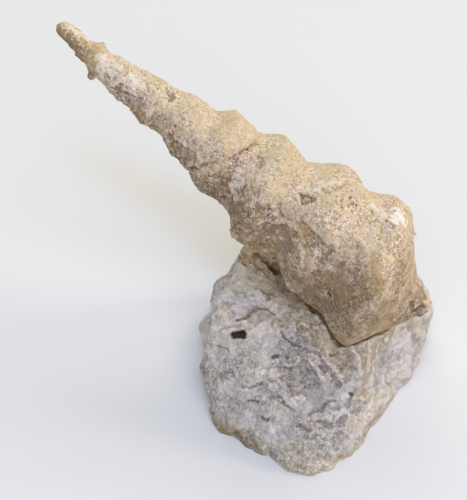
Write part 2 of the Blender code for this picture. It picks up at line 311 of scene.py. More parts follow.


# colour patches: place along the axis, bearing, length, breadth, and how far towards brown grey (-1) or
# yellow tan (+1) the shell turns there; the brown grey ones on the shaded left side and under the base are
# partly painted shade
shellPatches = (
    (1.8, 160, 2.6, 1.3, -1.1),
    (3.2, 40, 2.4, 1.0, 0.3),
    (12.5, 140, 3.0, 2.0, -0.6),
    (16.0, 150, 2.0, 2.2, -0.5),
    (21.5, 145, 2.2, 3.0, -1.2),
    (25.0, 60, 4.5, 5.0, 0.35),
    (28.5, 140, 3.0, 4.0, -1.4),
    (29.0, 104, 2.0, 3.0, -0.25),
    (31.5, 60, 3.0, 4.0, 0.25),
    (32.5, 125, 1.6, 3.0, -0.7),
    (36.5, 145, 3.4, 4.8, -1.05),
    (39.6, 116, 1.6, 1.6, -0.6),
    (34.0, 20, 4.0, 5.0, 0.1),
    (38.0, 95, 1.8, 2.5, -0.3),
    (39.0, 50, 2.0, 3.0, 0.2),
    (46.0, 134, 4.5, 6.0, -1.5),
    (49.5, 118, 3.0, 3.5, -0.6),
    (52.5, 110, 5.0, 7.0, -0.5),
    (55.0, 120, 2.5, 6.0, -0.35),
    # darker where the base faces down and to the right: painted shade as well as colour
    (52.0, 60, 3.5, 4.0, -0.7),
    (56.8, 90, 1.6, 3.0, -1.3),
    (48.0, 15, 5.0, 3.0, -0.25),
)
# worn smooth: place along the axis, bearing, length, breadth
shellWorn = (
    (21.8, 136, 1.2, 1.6),
    (37.2, 144, 2.4, 3.0),
    (38.6, 62, 1.2, 1.8),
    (54.0, 160, 2.5, 6.0),
    (53.5, 105, 2.2, 5.0),
    (25.5, 50, 2.4, 3.0),
    (47.5, 42, 1.2, 1.6),
)
# single features by the colour that they show: half width, height, strength of the colour, and the
# path over the shell as places along the axis and bearings
shellDetails = {"brown": (
    # the next five run along the crust's lip: partly a brown line, partly painted shade under the lip
    (0.22, -0.12, 0.6, (28.3, 47), (28.0, 56), (27.7, 68)),
    (0.22, -0.12, 0.5, (27.6, 70), (27.2, 82), (26.7, 93)),
    (0.28, -0.14, 0.45, (25.8, 102), (25.2, 113)),
    (0.28, -0.18, 0.6, (24.9, 119), (24.5, 127)),
    (0.26, -0.3, 0.6, (24.2, 138), (23.9, 144), (23.6, 154)),
    (0.5, -0.3, 0.35, (22.6, 152), (23.4, 160)),
    (0.55, -0.25, 0.5, (33.0, 112), (33.8, 117)),
    (0.26, -0.14, 0.4, (33.9, 106), (34.4, 112)),
    (0.13, -0.3, 1.0, (41.4, 49), (41.4, 50)),
    (0.15, -0.3, 1.0, (41.9, 53), (42.0, 52)),
    (0.15, -0.3, 1.0, (42.6, 52), (42.5, 51)),
    (0.13, -0.3, 1.0, (41.7, 59), (41.8, 58)),
    (0.13, -0.25, 0.8, (40.6, 60), (40.7, 61)),
    (0.14, -0.25, 0.9, (41.1, 63), (41.2, 64)),
    (0.12, -0.2, 0.8, (42.4, 60), (42.5, 61)),
    (0.11, -0.2, 0.7, (42.2, 46), (42.2, 47)),
    (0.3, -0.5, 1.0, (46.7, 139), (46.8, 140)),
    (0.16, 0.4, 0.4, (50.6, 27), (50.7, 27)),
    (0.2, -0.2, 0.9, (18.9, 110), (19.0, 111)),
    (0.14, -0.15, 0.5, (9.5, 115), (9.6, 117)),
    (0.26, -0.2, 0.6, (8.6, 126), (9.0, 126)),
    (0.16, -0.12, 0.5, (10.6, 118), (10.8, 116)),
    (0.14, -0.12, 0.5, (11.4, 112), (11.5, 110)),
    (0.14, -0.1, 0.45, (12.2, 108), (12.4, 110)),
    (0.75, -0.06, 0.5, (0.6, 150), (2.2, 142), (3.9, 134)),
    (0.35, 0.22, 0.7, (4.0, 160), (4.9, 158)),
    (0.22, -0.14, 0.3, (5.0, 60), (5.1, 130)),
    (0.2, 0.24, 0.7, (5.75, 4), (5.8, 11)),
    (0.6, 0.1, 0.75, (6.9, 182), (7.0, 170)),
    (0.2, -0.14, 0.6, (9.9, 141), (12.3, 126), (13.7, 108)),
    (0.4, -0.2, 0.5, (19.2, 132), (20.0, 140)),
    (0.5, -0.12, 0.25, (29.7, 70), (30.1, 74)),
    (0.24, -0.12, 0.35, (30.6, 94), (30.8, 103)),
    (0.3, -0.14, 0.4, (30.2, 108), (30.5, 118)),
    (0.24, -0.12, 0.3, (35.0, 100), (35.6, 106), (36.4, 109)),
    (0.32, -0.3, 0.8, (56.6, 118), (56.9, 112)),
    (0.32, -0.3, 0.7, (57.2, 96), (57.5, 90)),
    (0.32, -0.25, 0.6, (55.7, 98), (56.1, 104)),
    (1.1, -0.15, 0.25, (51.2, 76), (52.2, 84), (52.8, 94)),
), "olive": (
    (0.9, 0.0, 0.35, (27.2, 56), (26.4, 78), (25.6, 100)),
    (0.34, 0.22, 0.5, (25.2, 132), (24.9, 142)),
    (0.5, 0.1, 0.25, (33.8, 159), (35.3, 165), (37.0, 166), (38.9, 165), (40.2, 162)),
    (0.45, 0.5, 0.2, (32.7, 165), (32.9, 161)),
    # partly olive colour, partly painted shade in the hollow beside the flank's rim
    (0.8, -0.35, 0.5, (38.8, 104), (40.0, 103), (41.0, 108)),
    (0.2, -0.6, 1.0, (36.3, 73), (37.1, 81), (37.9, 71), (36.3, 73), (37.2, 75)),
    # painted shade along the lower edge of the bright plate, over a shallow groove
    (0.3, -0.12, 0.5, (38.2, 58), (38.8, 58), (39.4, 50), (39.9, 41)),
    (1.3, 0.1, 0.35, (46.2, 18), (46.8, 26)),
    (1.5, 0.1, 0.15, (37.3, 30), (38.0, 38)),
    (0.9, -0.12, 0.5, (48.2, 84), (49.5, 94), (50.5, 102)),
    (0.6, -0.12, 0.4, (46.6, 60), (47.6, 66), (49.4, 70)),
    (0.36, -0.35, 1.0, (15.7, 46), (15.9, 49)),
    (0.4, -0.4, 1.0, (16.4, 56), (16.6, 58)),
    (0.7, 0.0, 0.7, (0.3, 110), (2.0, 124), (3.6, 124)),
    (0.4, 0.0, 0.4, (0.2, 150), (0.6, 110)),
    (0.8, 0.05, 0.9, (4.3, 70), (4.6, 150)),
    (0.8, 0.1, 0.95, (5.5, 60), (5.6, 125)),
    (0.22, 0.25, 0.8, (7.2, 182), (7.4, 178)),
    (0.6, -0.2, 0.6, (14.2, 140), (15.0, 146)),
), "pale": (
    (0.4, 0.1, 0.35, (20.2, 128), (21.6, 118), (23.4, 120)),
    (0.34, 0.22, 0.2, (34.2, 133), (35.3, 123), (36.7, 113), (38.4, 108)),
    (0.16, 0.04, 1.0, (36.6, 154), (36.7, 153)),
    (0.16, 0.04, 1.0, (37.7, 144), (37.8, 143)),
    (0.32, 0.34, 0.12, (38.5, 108), (39.8, 111), (40.8, 120), (41.6, 128)),
    (0.26, 0.05, 0.15, (35.9, 66), (37.0, 65), (38.2, 69)),
    (0.9, 0.05, 0.45, (37.6, 52), (38.4, 47), (38.9, 40)),
    # the white on the lit knob at the right: partly pale colour, partly painted highlight
    (1.2, 0.08, 1.0, (47.2, 37), (47.8, 43)),
    (0.7, 0.05, 0.7, (44.8, 40), (45.4, 44)),
    (0.5, 0.1, 0.7, (42.6, 73), (42.8, 78)),
    (0.4, 0.16, 0.7, (41.6, 108), (42.3, 112)),
    (0.3, 0.06, 0.4, (43.2, 98), (43.6, 101)),
    (0.2, 0.1, 0.2, (47.1, 142), (47.2, 138)),
    (0.16, 0.1, 0.5, (16.1, 48), (16.2, 48)),
    (0.5, 0.0, 0.5, (1.4, 40), (3.0, 40), (4.2, 44)),
    (1.2, 0.05, 0.75, (6.9, 108), (9.0, 106), (12.0, 100)),
    (0.6, 0.12, 0.6, (14.6, 128), (15.2, 122)),
    (0.8, 0.1, 0.6, (28.8, 104), (29.4, 110)),
    (0.4, 0.14, 0.6, (29.0, 122), (30.4, 130)),
    (0.36, 0.1, 1.0, (37.4, 60), (37.9, 61)),
    (0.4, 0.22, 0.5, (57.3, 75), (57.6, 60)),
), "lilac": (
    # in the hollow on the left side: painted shade as well as lilac grey
    (1.2, -0.3, 0.6, (21.2, 142), (22.3, 126)),
    # on the concave flank, facing away from the lamps: painted shade as well as lilac grey
    (1.5, -0.12, 0.75, (35.8, 146), (37.2, 134), (38.4, 142)),
    (0.6, -0.08, 0.6, (46.8, 52), (47.4, 55)),
    (1.0, -0.3, 0.8, (42.2, 104), (42.9, 110)),
    # in a hollow on the spire: painted shade as well as lilac grey
    (0.8, -0.15, 0.8, (11.4, 140), (13.0, 132), (14.3, 124)),
    (0.9, 0.0, 0.6, (16.6, 126), (17.6, 122)),
    (0.9, -0.12, 0.9, (27.4, 92), (28.0, 96)),
    (1.1, 0.0, 0.6, (56.3, 104), (57.2, 78)),
)}
details = {
    "edge": (0.6, 1.35),   # in half widths: a feature is full inside the first and gone past the second
    "wander": 0.9,         # how raggedly it runs, in half widths
    "depth": 1.2,          # the way down to it, in mm, that doesn't count as a way to it
}


def distanceToRun(points, start, end, normals=None):
    # with normals, only the distance along the surface counts
    start, end = np.asarray(start, dtype=float), np.asarray(end, dtype=float)
    run = end - start
    squared = run @ run
    t = np.clip((points - start) @ run / squared, 0.0, 1.0)[:, None] if squared else 0.0
    offset = points - (start + t * run)
    if normals is not None:
        down = np.clip(np.einsum("ij,ij->i", offset, normals), -details["depth"], details["depth"])
        offset -= down[:, None] * normals
    return np.linalg.norm(offset, axis=1)


def addDetails(points, normals, rough, rowsOf):
    # the height that the features give each point, and how strongly each kind of colour shows there
    full, gone = details["edge"]
    height = np.zeros(len(points))
    colour = {kind: np.zeros(len(points)) for kind in rowsOf}
    for kind, rows in rowsOf.items():
        for halfWidth, rise, strength, *path in rows:
            ragged = points + details["wander"] * halfWidth * rough
            away = np.min([distanceToRun(ragged, a, b, normals) for a, b in zip(path[:-1], path[1:])], axis=0)
            near = ease((gone - away / halfWidth) / (gone - full))
            height += rise * near
            colour[kind] = np.maximum(colour[kind], strength * near)
    return height, colour


def terraces(values, steps, sharpness=3.0):
    # cuts a smooth height into flat treads with short risers, as flaking leaves them
    scaled = values * steps
    tread = np.floor(scaled)
    return (tread + ease((scaled - tread - 0.5) * sharpness + 0.5)) / steps


def hollows(height, faces, rounds):
    # how far each point lies below the ones around it, in mm; more rounds look further round it
    ends = np.array([(face[i - 1], face[i]) for face in faces for i in range(len(face))])
    count = np.bincount(ends.ravel(), minlength=len(height))
    smooth = height
    for turn in range(rounds):
        total = np.bincount(ends[:, 0], smooth[ends[:, 1]], len(height))
        total += np.bincount(ends[:, 1], smooth[ends[:, 0]], len(height))
        smooth = 0.4 * smooth + 0.6 * total / count
    return smooth - height


def roughWarp(points, size):
    return np.stack([noiseAt(points, size, seed, 2) for seed in (60.0, 70.0, 80.0)], axis=1)


def layOutShell():
    # rings of points from the tip to the canal's end, and one point more to close each end
    rows, segments = shell["rows"], shell["segments"]
    turn = np.linspace(0.0, fullTurn, segments, endpoint=False)
    bearing = np.mod(turn + shell["frontShare"] * np.cos(turn), fullTurn)
    s, bearing = np.meshgrid(np.linspace(0.0, shellLength, rows), bearing, indexing="ij")
    points = shellPoint(s, bearing).reshape(-1, 3)
    tipCap, canalCap = shell["endCaps"]
    points = np.vstack((points, shell["tip"] - along * tipCap, shell["canalEnd"] + along * canalCap))
    s, bearing = np.append(s, (0.0, shellLength)), np.append(bearing, (0.0, 0.0))
    faces = []
    for i in range(rows - 1):
        for j in range(segments):
            k = (j + 1) % segments
            faces.append((i * segments + j, i * segments + k, (i + 1) * segments + k, (i + 1) * segments + j))
    first, last, top = rows * segments, rows * segments + 1, (rows - 1) * segments
    for j in range(segments):
        k = (j + 1) % segments
        faces.append((first, k, j))
        faces.append((last, top + j, top + k))
    print("shell surface laid out,", len(faces), "faces")
    return points, s, bearing, faces


def buildShell(material):
    points, s, bearing, faces = layOutShell()
    normals = normalsOf(points, faces)
    radius = shellPlace(points)[2]
    size = {name: row[0] for name, row in shell["relief"].items()}
    warp = roughWarp(points, shell["warp"])

    # where it is worn smooth, and where it is rough or porous
    worn = np.zeros(len(points))
    for place, degrees, length, breadth in shellWorn:
        worn = np.maximum(worn, np.exp(-awayFrom(s, bearing, radius, place, degrees, length, breadth) ** 2))
    leftSide = ease((np.cos(bearing - math.radians(shell["leftBearing"])) - 0.1) / 0.7)
    rightSide = ease((np.cos(bearing - 0.4) - 0.5) / 0.4)
    towardsNub = 6.0 * np.cos(bearing - math.radians(shell["nubBearing"]))
    nub = ease((s - shell["nubStart"]) / 3.0) * ease((s - 48.0 + towardsNub) / 8.0)
    patchy = ease((noiseAt(points, shell["roughPatch"], 15.0, 3) + 0.4) / 0.7) * (1.0 - worn)
    rough = 0.75 + 0.5 * leftSide * ease((45.0 - s) / 15.0) + 0.9 * nub
    rough *= (0.6 + 0.4 * patchy) * (1.0 - 0.75 * worn)
    porous = ease((noiseAt(points, shell["porousPatch"], 50.0, 2) + 0.2) / 0.5) * (1.0 - worn)
    pitted = 0.7 * np.exp(-awayFrom(s, bearing, radius, *shell["pitted"])) + 0.6 * nub

    pores = spotsAt(points + 0.2 * warp, size["pore"], 5.0)
    forms = {
        "knuckle": noiseAt(points, size["knuckle"], 21.0, 4),
        "grain": noiseAt(points, size["grain"], 37.0, 2),
        "flake": terraces(noiseAt(points + 0.4 * warp, size["flake"], 44.0, 3), 5.0),
        "crumb": terraces(noiseAt(points + 0.25 * warp, size["crumb"], 81.0, 2), 3.0, 4.0),
        "wrinkle": ridgesAt(points + 0.5 * warp, size["wrinkle"], 66.0, 3) - 0.6,
        "pore": ease(1.0 - pores / shell["poreRadius"]) * np.clip(porous + pitted, 0.0, 1.0),
    }
    spikes = ease((noiseAt(points, size["spike"], 77.0, 2) - 0.25) / 0.4) * leftSide
    spikes *= ease((46.0 - s) / 8.0) * ease(s / 6.0)
    threads = np.sin(fullTurn * (s + 0.3 * warp[:, 0]) / size["thread"])
    threads *= ease((s - shell["threadStart"]) / 4.0)
    height = sum(shell["relief"][name][1] * form for name, form in forms.items()) * rough
    height += shell["relief"]["spike"][1] * spikes + shell["relief"]["thread"][1] * threads
    height = (height - shell["sink"]) * (0.2 + 0.8 * ease(radius / 3.0))   # less where the spire is thin
    onShell = {kind: [(*row[:3], *shellPoint(*np.array([(a, math.radians(b)) for a, b in row[3:]]).T))
                      for row in rows] for kind, rows in shellDetails.items()}
    rise, colour = addDetails(points, normals, warp + 0.6 * roughWarp(points, 0.45), onShell)
    relief = height + rise
    points = points + normals * relief[:, None]

    patch = np.zeros(len(points))
    for place, degrees, length, breadth, amount in shellPatches:
        patch += amount * np.exp(-awayFrom(s, bearing, radius, place, degrees, length, breadth))
    # hollows are darkened with dirt and painted shade, and rises lightened with wear and painted highlight
    sunk = (hollows(relief, faces, 8) + 0.4 * hollows(relief, faces, 60)) / shell["pitDepth"]
    attributes = {
        # lighter on the right side, where the lamps fall, and darker on the left: partly the shell's own
        # colour, partly painted light and shade
        "tone": 0.52 + 0.26 * np.cos(bearing - 0.6) + 0.45 * patch,
        "pitDirtAndShade": ease(sunk),
        "crestWearAndHighlight": ease(-sunk),
        "porous": np.clip(0.4 * porous + pitted, 0.0, 1.0),
        "rough": patchy * (0.4 + 0.6 * ease(s / 24.0)) * (1.0 - 0.3 * rightSide),
        **colour,
    }
    return meshFrom("shellSkin", points, faces, material, attributes)


# the stone's form, in mm: the same broken faces as its solid
stone = {
    "heart": np.array((10.5, 15.5, 6.0)),
    "sharpness": 26.0,
    "lumps": ((0.75, 7.0, 11.0), (0.35, 2.6, 5.0)),   # height, size, seed
    "ray": (3.0, 24.0, 0.12),   # the search for the shell: where it starts and ends, and its step
    "embed": 0.4,            # how deep the stone runs in under the shell's skin
    "lean": 7.0,             # how far it reaches out past the shell, for each mm of gap to it
    "leanReach": 3.0,        # the widest gap that counts
    "ballCuts": 5,           # of the round ball that the mesh starts from
    "cuts": 6,               # at most, where its triangles are too long
    "seenEdge": 0.15,        # longest edge of a triangle on the front, at the back, and out of sight
    "backEdge": 0.26,
    "hiddenEdge": 0.8,
    "edgeSlack": 1.35,       # an edge is cut when it is longer than this many times its limit
    "frontWay": np.array((-0.25, -0.7, 0.6)),
    "frontFrom": -3.0,
    "relief": {              # size, height where the break is smooth, and what a rough break adds
        "lump": (1.5, 0.1, 0.0),
        "ledge": (5.5, 0.24, 0.0),
        "flake": (1.3, 0.04, 0.09),
        "scale": (0.7, 0.015, 0.055),
        "grain": (0.45, 0.03, 0.0),
        "curl": (0.9, 0.03, 0.05),
    },
    "warp": 1.6,
    "wideWarp": 3.5,
    "roughPatch": 5.5,
    "roughLeftOf": 19.0,     # right of this the break is smooth
    "bank": (0.5, 1.3),      # height and reach of the stone that is banked up against the shell
    "groove": (0.4, 0.2),    # depth and reach of the groove between them
    "holeDepth": 1.5,
    "holeWay": np.array((0.05, 0.65, -0.75)),
    "holeEdge": 0.16,        # how soft their rim is
    "holeReach": 2.5,        # they leave the stone's far side alone
    "sink": 0.1,
    "pitDepth": 0.12,
}
# compass bearing, lean and distance from the heart of each broken face
brokenFaces = (
    (-92, 52, 5.4),
    (-130, 25, 10.2),
    (-100, 10, 13.6),
    (-62, 34, 8.5),
    (-34, 12, 8.8),
    (-14, -30, 12.8),
    (-8, 10, 14.5),
    (184, -4, 14.5),
    (176, -35, 13.0),
    (165, 30, 13.4),
    (148, 12, 17.6),
    (124, 20, 18.2),
    (95, 12, 14.8),
    (62, 14, 16.6),
    (30, 12, 16.9),
    (60, 62, 11.4),
    (-60, 88, 6.1),
)
# lumps and hollows, each from one place to another, with height and radius
stoneMarks = (
    ((-4.5, 19.2, 5.8), (-4.5, 19.2, 5.8), 0.3, 1.2),
    ((-3.0, 24.2, 6.6), (-3.8, 20.6, 8.6), -1.2, 2.1),
    ((-4.2, 17.0, 6.2), (-4.4, 16.6, 7.2), -0.7, 1.3),
    ((24.6, 24.0, 9.4), (24.8, 23.6, 8.4), -0.6, 1.5),
    ((22.4, 15.6, 1.2), (22.4, 15.6, 1.2), 0.6, 1.4),
    ((14.3, 2.6, 0.3), (14.3, 2.6, 0.3), 0.4, 1.2),
    ((-3.9, 20.2, 10.4), (-2.6, 22.6, 11.2), -0.7, 1.8),
    ((-4.6, 14.8, 8.6), (-4.6, 14.8, 8.6), -0.5, 1.2),
    ((-3.7, 12.4, 3.4), (-4.3, 14.0, 4.2), 0.9, 1.4),
    ((-2.6, 8.3, 0.5), (-2.6, 8.3, 0.5), 0.9, 2.6),
    ((0.8, 28.4, 12.0), (0.8, 28.4, 12.0), 1.2, 2.6),
    ((7.0, 0.7, 0.4), (9.4, 0.4, 0.8), 0.9, 1.3),
    ((-1.6, 15.0, 11.0), (2.3, 15.7, 12.1), -0.9, 0.8),
    ((2.3, 15.7, 12.1), (3.1, 16.8, 12.3), -1.0, 0.8),
    ((3.1, 16.8, 12.3), (6.4, 15.2, 12.1), -0.4, 0.8),
    ((-1.6, 18.0, 11.6), (1.6, 18.2, 12.6), 0.8, 1.6),
    ((3.6, 19.4, 12.4), (5.4, 17.8, 12.2), 0.6, 0.8),
    ((5.0, 25.0, 12.5), (7.0, 22.6, 12.4), -1.0, 1.3),
    ((4.4, 7.4, 6.0), (6.0, 5.6, 5.2), -0.5, 0.8),
    ((9.6, 7.6, 6.8), (13.2, 8.6, 7.0), -0.6, 0.9),
    ((8.0, 4.4, 4.4), (13.0, 5.0, 4.6), 0.6, 1.5),
    ((15.6, 12.0, 9.6), (16.6, 7.6, 4.6), 0.7, 1.5),
    ((18.9, 12.5, 8.4), (19.4, 12.0, 6.0), -0.7, 1.8),
    ((22.4, 17.4, 6.4), (21.8, 15.6, 4.4), 0.5, 1.4),
    ((24.2, 22.5, 11.7), (23.6, 24.0, 12.0), -0.5, 1.6),
    ((-4.4, 20.8, 7.4), (-1.8, 23.6, 9.4), -0.6, 1.3),
    ((15.9, 4.6, 0.4), (15.4, 3.8, 0.4), 0.8, 1.4),
    ((18.5, 8.4, 0.6), (19.0, 9.2, 0.8), -0.4, 1.5),
    ((20.3, 11.8, 0.4), (21.4, 13.4, 1.4), -0.9, 1.4),
    ((23.6, 16.6, 2.8), (23.4, 16.2, 2.4), 0.6, 1.4),
    ((4.6, 2.4, 0.3), (5.6, 1.4, 0.4), -0.9, 1.1),
    ((12.4, 1.2, 0.3), (13.0, 1.6, 0.3), -0.5, 1.1),
)
# where the break is rough besides: place, reach
roughPlaces = (((0.5, 11.0, 8.8), 3.0), ((1.0, 16.6, 12.2), 1.8), ((8.0, 12.5, 11.0), 3.0))
# natural holes that run into each other: place, radius
stoneHoles = (
    ((0.08, 13.7, 10.75), 0.44),
    ((1.05, 13.78, 10.85), 0.52),
    ((0.55, 13.72, 10.82), 0.46),
    ((0.0, 13.5, 10.6), 0.25),
    ((1.24, 13.55, 10.63), 0.28),
)
# single features by the colour that they show: half width, height, strength of the colour, and the
# path; those with no strength are relief alone
stoneDetails = {"brown": (
    # painted shadow cast by the ledge above, along its crack
    (0.15, -0.25, 0.75, (0.4, 15.2, 11.8), (1.7, 15.7, 11.9), (2.6, 16.7, 12.0), (3.2, 17.2, 12.0)),
    (0.12, -0.2, 0.6, (3.2, 17.2, 12.0), (4.4, 16.9, 11.8), (5.3, 16.1, 11.7)),
    # partly dirt, partly painted shade in the undercut under the shell's edge
    (0.24, -0.3, 0.9, (3.7, 25.7, 12.2), (5.0, 24.8, 12.1), (5.8, 24.0, 12.1)),
    (0.24, -0.3, 0.7, (5.0, 11.35, 9.4), (5.5, 11.3, 9.4)),
    (0.2, -0.25, 0.6, (6.6, 11.1, 9.5), (6.8, 11.0, 9.5)),
    (0.22, -0.25, 0.4, (12.4, 11.5, 9.4), (12.6, 11.5, 9.3)),
    (0.24, -0.3, 0.8, (14.6, 7.3, 6.9), (14.7, 7.2, 6.8)),
    (0.18, -0.25, 0.5, (1.6, 7.3, 5.3), (2.3, 7.4, 5.4), (3.1, 7.2, 5.4)),
    (0.24, -0.25, 0.5, (3.4, 5.5, 4.5), (4.3, 5.3, 4.3)),
    (0.16, -0.25, 0.3, (11.1, 6.1, 5.8), (11.7, 6.6, 6.1), (12.6, 6.7, 6.3)),
    (0.16, -0.2, 0.5, (6.0, 13.6, 11.4), (6.8, 12.6, 10.8), (7.8, 12.2, 10.6), (8.4, 12.0, 10.5)),
    # along the foot: painted shade
    (0.9, 0.0, 0.32, (-3.4, 7.0, 0.3), (-0.4, 5.2, 0.3), (3.4, 2.8, 0.2)),
), "tan": (
    (2.0, -0.1, 1.0, (1.6, 26.4, 12.3), (4.0, 25.5, 12.2), (6.4, 23.2, 12.1)),
    (1.9, 0.0, 0.7, (2.6, 22.6, 12.5), (4.6, 20.6, 12.6), (6.2, 18.6, 12.6)),
    (0.5, -0.4, 0.0, (3.0, 26.2, 12.2), (4.2, 25.6, 12.2), (5.4, 24.6, 12.1), (6.7, 23.2, 12.1)),
    (0.18, -0.2, 0.0, (2.2, 24.9, 12.3), (3.4, 24.2, 12.3), (4.6, 22.8, 12.3)),
    (0.16, -0.15, 0.0, (1.0, 25.2, 12.2), (2.0, 23.8, 12.3)),
    (2.0, -0.1, 0.55, (11.6, 12.9, 10.3), (14.4, 11.6, 9.6), (16.4, 9.8, 8.6)),
    (1.5, 0.0, 0.5, (17.0, 11.8, 9.6), (20.0, 15.6, 9.4)),
    (1.4, -0.1, 0.6, (7.0, 15.0, 12.3), (9.0, 14.8, 12.0), (11.4, 13.2, 10.7)),
    (0.9, 0.0, 0.7, (16.2, 7.6, 6.2), (17.4, 7.8, 5.6)),
    # tan along the foot: partly tan colour, partly painted shade
    (1.1, 0.0, 0.7, (-3.2, 7.6, 0.6), (0.0, 5.8, 0.6), (3.6, 3.2, 0.4)),
), "pale": (
    (0.6, 0.3, 0.9, (0.2, 16.4, 12.2), (1.6, 17.2, 12.3)),
    # painted light as well as pale colour
    (1.2, 0.4, 1.0, (-1.0, 18.6, 12.2), (0.4, 18.0, 12.6), (1.8, 17.7, 12.5)),
    (0.6, 0.2, 0.4, (0.4, 16.6, 12.2), (1.8, 16.6, 12.2)),
    (1.1, 0.15, 0.7, (21.2, 16.4, 8.0), (22.6, 16.8, 4.8)),
    (0.9, 0.15, 0.6, (20.8, 14.6, 2.8), (21.6, 15.2, 2.2)),
    (0.26, 0.3, 0.9, (9.5, 10.6, 9.5), (10.4, 9.6, 8.8), (11.2, 8.6, 7.9)),
    (0.2, 0.22, 0.9, (6.3, 10.5, 9.1), (7.0, 10.2, 9.0), (7.8, 10.4, 9.1), (8.1, 10.8, 9.3)),
    (0.7, 0.3, 0.8, (10.4, 5.2, 5.0), (12.0, 5.4, 5.1), (13.4, 5.6, 5.0)),
    (0.2, 0.16, 0.6, (6.2, 13.9, 11.6), (7.0, 12.9, 11.0)),
    (0.18, 0.22, 0.9, (11.2, 11.2, 9.6), (12.4, 10.2, 8.8), (13.4, 8.6, 7.8), (14.4, 7.8, 7.2)),
    (1.6, 0.05, 0.8, (-3.0, 20.6, 11.6), (-0.8, 23.5, 12.2)),
    (0.5, 0.16, 0.4, (2.0, 10.4, 8.4), (3.6, 9.6, 8.2), (5.4, 9.4, 8.2)),
    (0.5, 0.16, 0.4, (6.0, 7.6, 6.6), (7.4, 6.8, 6.2), (8.8, 6.8, 6.3)),
    (0.5, 0.16, 0.4, (10.6, 3.6, 3.6), (12.2, 3.6, 3.4)),
), "grey": (
    (0.4, -0.2, 0.8, (3.2, 20.3, 12.7), (4.8, 18.9, 12.7)),
    (1.7, -0.2, 0.2, (19.2, 13.5, 7.9), (19.7, 13.1, 4.9)),
    (0.26, -0.2, 0.6, (9.0, 11.9, 10.2), (10.6, 11.4, 9.7), (11.4, 10.9, 9.2)),
    (0.26, -0.25, 0.7, (10.9, 10.2, 9.0), (11.6, 9.6, 8.6)),
    (2.0, -0.1, 0.22, (8.2, 9.8, 8.4), (10.0, 8.4, 7.4), (11.4, 7.6, 6.8)),
    (1.2, 0.0, 0.4, (7.0, 12.0, 10.5), (9.0, 12.0, 10.3)),
    (1.0, -0.25, 0.4, (15.0, 6.6, 5.2), (15.8, 6.2, 4.6)),
    (0.28, -0.25, 0.45, (9.6, 5.4, 5.2), (10.2, 5.9, 5.6), (10.9, 6.0, 5.7)),
    (0.3, -0.15, 0.5, (11.0, 10.9, 9.3), (12.0, 9.9, 8.6), (13.1, 8.3, 7.6)),
    (0.2, -0.15, 0.4, (-1.6, 14.6, 10.4), (-0.6, 14.8, 11.0), (0.8, 14.9, 11.3)),
    (0.2, -0.15, 0.5, (-2.2, 13.2, 9.2), (-0.8, 12.4, 9.4)),
    (0.2, -0.15, 0.6, (0.8, 8.6, 6.8), (2.0, 8.2, 6.8), (3.4, 8.6, 7.2)),
    (0.7, -0.1, 0.55, (-1.4, 10.6, 6.6), (-0.2, 10.6, 7.0)),
    (0.2, -0.2, 0.6, (6.2, 6.6, 5.9), (7.6, 5.9, 5.5)),
    (0.24, -0.15, 0.5, (8.0, 4.4, 4.2), (9.6, 3.8, 3.8)),
), "cream": (
    # painted light as well as cream colour
    (1.6, 0.0, 1.0, (-0.9, 21.6, 11.6), (0.8, 19.6, 12.5)),
    (0.5, 0.3, 0.95, (2.0, 20.4, 12.5), (3.2, 18.9, 12.6), (4.4, 17.5, 12.4)),
    (1.6, 0.0, 0.7, (0.2, 23.4, 12.0), (1.8, 21.4, 12.4)),
    (0.3, 0.14, 0.8, (14.8, 12.4, 10.0), (15.6, 10.6, 9.2), (15.8, 9.2, 8.2)),
    (0.3, 0.14, 0.8, (17.0, 12.6, 9.9), (17.0, 11.2, 9.2), (16.8, 10.0, 8.4)),
    (0.2, 0.2, 0.8, (8.8, 13.4, 11.2), (9.6, 13.6, 11.2), (9.9, 13.0, 10.9)),
    (0.2, 0.2, 0.8, (8.2, 14.4, 11.8), (8.9, 14.7, 11.9), (9.5, 14.4, 11.6)),
    (0.8, 0.2, 0.9, (-3.6, 17.0, 11.2), (-2.2, 16.6, 11.8)),
    (1.2, 0.1, 0.6, (7.0, 1.0, 0.8), (9.0, 0.1, 1.0), (11.4, 0.6, 0.9)),
    (1.0, 0.15, 0.6, (18.8, 9.6, 3.6), (17.6, 7.4, 2.8)),
    (1.6, 0.1, 0.8, (23.4, 20.4, 9.4), (24.2, 22.6, 9.2)),
)}


def faceNormal(compass, lean):
    b, e = math.radians(compass), math.radians(lean)
    return np.array((math.cos(b) * math.cos(e), math.sin(b) * math.cos(e), math.sin(e)))


